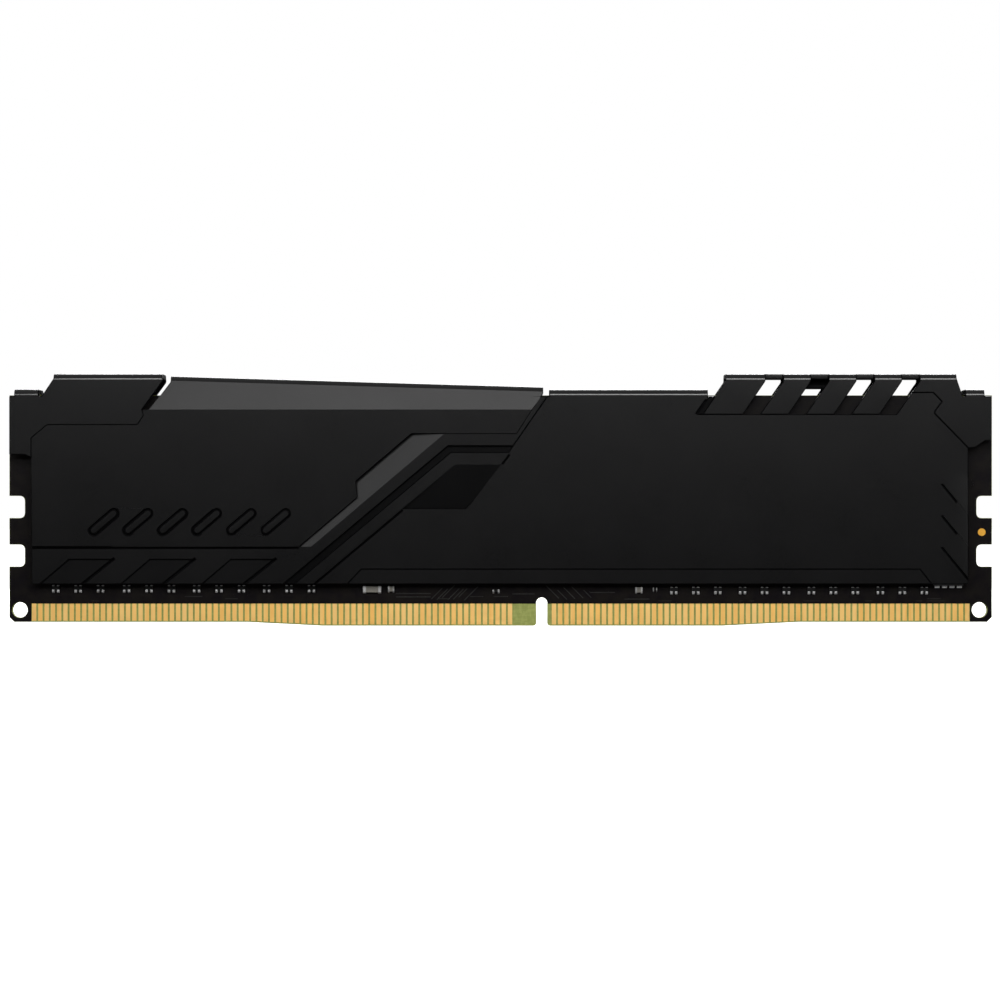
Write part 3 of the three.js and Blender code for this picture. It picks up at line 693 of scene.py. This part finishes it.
# ---------------------------------------------------------------------------
# The module
# ---------------------------------------------------------------------------

RESISTOR_PACKS_PER_STRIP = 12
END_CAP_PARTS = (  # node, body, slot, length of each cap
    ("bulk_capacitor", CERAMIC, "capacitor", 0.45 * MM),
    ("filter_capacitor", CERAMIC, "capacitor", 0.22 * MM),
    ("clock_capacitor", CERAMIC, "capacitor", 0.25 * MM),
    ("centre_resistor", RESISTIVE, "resistor", 0.24 * MM),
    ("calibration_resistor", RESISTIVE, "resistor", 0.16 * MM),
)

circuit_board()
for side in (FRONT, REAR):
    heat_spreader(side)
    thermal_pad(side)
    memory_chips(side)
    lacquer(side)
    traces(side)
    vias(side)
    for strip in ("left", "right"):
        contacts(side, strip)
finished_node("test_pad", THIN_GOLD, 0.01 * MM)
configuration_chip()
for strip in ("left", "right"):
    for i in range(RESISTOR_PACKS_PER_STRIP):
        resistor_pack(f"{strip}_resistor_pack_{i + 1}")
for node, body, slot, cap in END_CAP_PARTS:
    end_cap_part(node, body, cap)


# ---------------------------------------------------------------------------
# Studio
# ---------------------------------------------------------------------------

def camera():
    """Straight on, at the height of the module's middle."""
    data = bpy.data.cameras.new("camera")
    data.sensor_width = 36
    distance = 0.6  # from the face of the board
    width_seen = 0.13574  # at that distance
    data.lens = data.sensor_width * distance / width_seen
    data.clip_start = 0.01
    data.clip_end = 20
    made = bpy.data.objects.new("camera", data)
    middle_x, middle_z = -0.09 * MM, 17.05 * MM
    made.location = (middle_x, BOARD_LOW.y - distance, middle_z)
    made.rotation_euler = (math.radians(90), 0, 0)
    bpy.context.scene.collection.objects.link(made)
    bpy.context.scene.camera = made


def soft_box(name, place, target, size, radiance):
    """A rectangular lamp of even brightness that the camera doesn't see."""
    data = bpy.data.lights.new(name, "AREA")
    data.shape = "RECTANGLE"
    data.size, data.size_y = size
    data.energy = radiance * math.pi * size[0] * size[1]
    made = bpy.data.objects.new(name, data)
    made.location = place
    made.rotation_euler = (Vector(target) - Vector(place)).to_track_quat("-Z", "Y").to_euler()
    made.visible_camera = False
    bpy.context.scene.collection.objects.link(made)


def surroundings():
    """White behind the object, in a room that is dim towards its front and back and brighter elsewhere."""
    world = bpy.data.worlds.new("studio")
    world.use_nodes = True
    tree = world.node_tree
    background = tree.nodes["Background"]
    background.inputs["Color"].default_value = grey(1)
    direction = tree_node(tree, "ShaderNodeSeparateXYZ", Vector=generated_position(tree))
    towards_front_or_back = calc(tree, "ABSOLUTE", direction.outputs["Y"])
    bright, dim = 0.42, 0.02
    room = remap(tree, towards_front_or_back, 0.7, 0.95, bright, dim)
    seen = tree.nodes.new("ShaderNodeLightPath").outputs["Is Camera Ray"]
    connect(tree, remap(tree, seen, 0, 1, room, 1), background.inputs["Strength"])
    bpy.context.scene.world = world


def floor():
    """Pale floor just under the contact edge. It brightens outwards until it meets the white surroundings."""
    gap = 0.05 * MM  # below the contact edge
    mesh = bmesh.new()
    bmesh.ops.create_circle(mesh, cap_ends=True, segments=96, radius=2)
    data = bpy.data.meshes.new("floor")
    mesh.to_mesh(data)
    mesh.free()
    made = bpy.data.objects.new("floor", data)
    made.location = (0, 0, -gap)
    bpy.context.scene.collection.objects.link(made)
    material, tree, shader = new_material("pale_floor", Roughness=0.9)
    place = object_position(tree)
    tint = noise(tree, place, 20 * MM)
    connect(tree, mix_colours(tree, tint, grey(0.8), grey(0.82)), shader.inputs["Base Color"])
    away = tree.nodes.new("ShaderNodeVectorMath")
    away.operation = "LENGTH"
    connect(tree, place, away.inputs[0])
    glow = remap(tree, away.outputs["Value"], 80 * MM, 300 * MM, 0.84, 1)
    connect(tree, glow, shader.inputs["Emission Strength"])
    shader.inputs["Emission Color"].default_value = grey(1)
    data.materials.append(material)
    made.visible_diffuse = False
    made.visible_glossy = False


def strip_lamp(name, side, x, elevation, size, radiance):
    """A long lamp that faces the module's middle from an elevation in degrees."""
    distance, height = 0.25, 0.02
    angle = math.radians(elevation)
    place = (x, side * distance * math.cos(angle), height + distance * math.sin(angle))
    soft_box(f"{SIDES[side]}_{name}", place, (x, 0, height), size, radiance)


def lamps(side):
    """A low strip for the faces, a shorter one above it for leaning faces, and a weak fill."""
    strip_lamp("low_strip", side, x=0, elevation=15, size=(0.5, 0.04), radiance=6.9)
    strip_lamp("high_strip", side, x=0.015, elevation=28, size=(0.2, 0.05), radiance=11)
    strip_lamp("fill", side, x=0, elevation=-4, size=(0.5, 0.06), radiance=0.05)


camera()
surroundings()
floor()
for side in (FRONT, REAR):
    lamps(side)
bpy.context.scene.view_settings.view_transform = "Standard"
